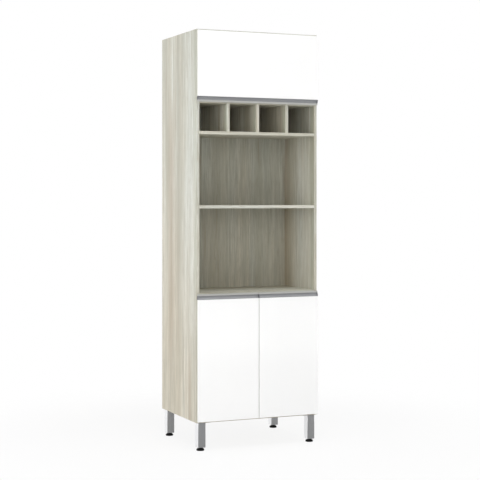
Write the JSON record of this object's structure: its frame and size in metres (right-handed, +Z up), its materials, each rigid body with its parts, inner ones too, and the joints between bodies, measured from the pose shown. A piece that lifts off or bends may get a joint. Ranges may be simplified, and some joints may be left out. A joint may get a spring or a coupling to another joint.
{
  "type": "tall kitchen cabinet",
  "caption": "Tall kitchen cabinet on legs: lift-up front, open bottle rack, open appliance niches and a base cupboard behind hinged doors with aluminium grip profiles.",
  "frame": {"origin": "on the floor, under the middle of the cabinet's width and depth", "axes": "+Z up, the fronts face -Y, +X to the right of someone facing the cabinet's front"},
  "size_m": [0.7, 0.545, 2.205],
  "materials": {
    "ash_board": "matt wood-grain laminate on board",
    "white_gloss": "white high-gloss laminate on board",
    "hardboard": "thin board, pale print on its inner face",
    "beech": "raw wood",
    "grip_aluminium": "satin anodised",
    "leg_aluminium": "satin anodised",
    "zinc_steel": "zinc plated",
    "polished_steel": "polished",
    "strut_enamel": "satin enamel",
    "black_plastic": "matt",
    "black_steel": "black oxide",
    "soft_bumper": "soft, translucent"
  },
  "bodies": {
    "carcass": {"left_side_panel": "ash_board", "right_side_panel": "ash_board", "top_panel": "ash_board", "rack_ceiling_panel": "ash_board", "rack_floor_panel": "ash_board", "niche_shelf": "ash_board", "niche_floor_panel": "ash_board", "bottom_panel": "ash_board", "rack_divider_left": "ash_board", "rack_divider_middle": "ash_board", "rack_divider_right": "ash_board", "niche_back_panel": "ash_board", "base_shelf": "ash_board", "rear_panel_upper": "hardboard", "rear_panel_lower": "hardboard", "cam_locks": "zinc_steel", "cam_bolts": "zinc_steel", "dowels": "beech", "shelf_pins": "zinc_steel", "wall_brackets": "zinc_steel", "leg_front_left": "leg_aluminium", "leg_front_right": "leg_aluminium", "leg_rear_left": "leg_aluminium", "leg_rear_right": "leg_aluminium", "leg_plates": "zinc_steel", "leg_end_plugs": "black_plastic", "hinge_arms": "zinc_steel", "hinge_plates": "zinc_steel", "strut_side_brackets": "zinc_steel", "bracket_screws": "zinc_steel", "door_bumpers": "soft_bumper"},
    "left_door": {"left_door_panel": "white_gloss", "left_door_handle": "grip_aluminium", "left_hinge_cups": "zinc_steel", "left_hinge_pins": "zinc_steel", "left_cup_screws": "zinc_steel"},
    "right_door": {"right_door_panel": "white_gloss", "right_door_handle": "grip_aluminium", "right_hinge_cups": "zinc_steel", "right_hinge_pins": "zinc_steel", "right_cup_screws": "zinc_steel"},
    "flap": {"flap_panel": "white_gloss", "flap_handle": "grip_aluminium", "flap_hinge_cups": "zinc_steel", "flap_hinge_pins": "zinc_steel", "flap_screws": "zinc_steel", "strut_flap_brackets": "zinc_steel"},
    "strut_left_cylinder": {"strut_left_cylinder": "strut_enamel"},
    "strut_left_rod": {"strut_left_rod": "polished_steel"},
    "strut_right_cylinder": {"strut_right_cylinder": "strut_enamel"},
    "strut_right_rod": {"strut_right_rod": "polished_steel"},
    "foot_front_left": {"foot_pad_front_left": "black_plastic", "foot_screw_front_left": "black_steel"},
    "foot_front_right": {"foot_pad_front_right": "black_plastic", "foot_screw_front_right": "black_steel"},
    "foot_rear_left": {"foot_pad_rear_left": "black_plastic", "foot_screw_rear_left": "black_steel"},
    "foot_rear_right": {"foot_pad_rear_right": "black_plastic", "foot_screw_rear_right": "black_steel"}
  },
  "joints": [
    {"name": "left_door_hinge", "type": "hinge", "parent": "carcass", "child": "left_door", "pos_m": [-0.3415, -0.265, 0.473], "axis": [0, 0, -1], "range_deg": [0, 95]},
    {"name": "right_door_hinge", "type": "hinge", "parent": "carcass", "child": "right_door", "pos_m": [0.3415, -0.265, 0.473], "axis": [0, 0, 1], "range_deg": [0, 95]},
    {"name": "flap_hinge", "type": "hinge", "parent": "carcass", "child": "flap", "pos_m": [0, -0.265, 2.1915], "axis": [-1, 0, 0], "range_deg": [0, 90]},
    {"name": "strut_left_side_pivot", "type": "hinge", "parent": "carcass", "child": "strut_left_cylinder", "pos_m": [-0.321, -0.11646, 2.17062], "axis": [-1, 0, 0], "range_deg": [0, 45]},
    {"name": "strut_left_flap_pivot", "type": "hinge", "parent": "flap", "child": "strut_left_rod", "pos_m": [-0.321, -0.2435, 2.04305], "axis": [-1, 0, 0], "range_deg": [-45, 0]},
    {"name": "strut_right_side_pivot", "type": "hinge", "parent": "carcass", "child": "strut_right_cylinder", "pos_m": [0.321, -0.11646, 2.17062], "axis": [-1, 0, 0], "range_deg": [0, 45]},
    {"name": "strut_right_flap_pivot", "type": "hinge", "parent": "flap", "child": "strut_right_rod", "pos_m": [0.321, -0.2435, 2.04305], "axis": [-1, 0, 0], "range_deg": [-45, 0]},
    {"name": "foot_front_left_screw", "type": "slide", "parent": "carcass", "child": "foot_front_left", "axis": [0, 0, -1], "range_m": [0, 0.012]},
    {"name": "foot_front_right_screw", "type": "slide", "parent": "carcass", "child": "foot_front_right", "axis": [0, 0, -1], "range_m": [0, 0.012]},
    {"name": "foot_rear_left_screw", "type": "slide", "parent": "carcass", "child": "foot_rear_left", "axis": [0, 0, -1], "range_m": [0, 0.012]},
    {"name": "foot_rear_right_screw", "type": "slide", "parent": "carcass", "child": "foot_rear_right", "axis": [0, 0, -1], "range_m": [0, 0.012]}
  ],
  "couplings": [
    {"joint": "strut_left_side_pivot", "follows": "flap_hinge", "ratio": 0.5},
    {"joint": "strut_left_flap_pivot", "follows": "flap_hinge", "ratio": -0.5},
    {"joint": "strut_right_side_pivot", "follows": "flap_hinge", "ratio": 0.5},
    {"joint": "strut_right_flap_pivot", "follows": "flap_hinge", "ratio": -0.5}
  ]
}
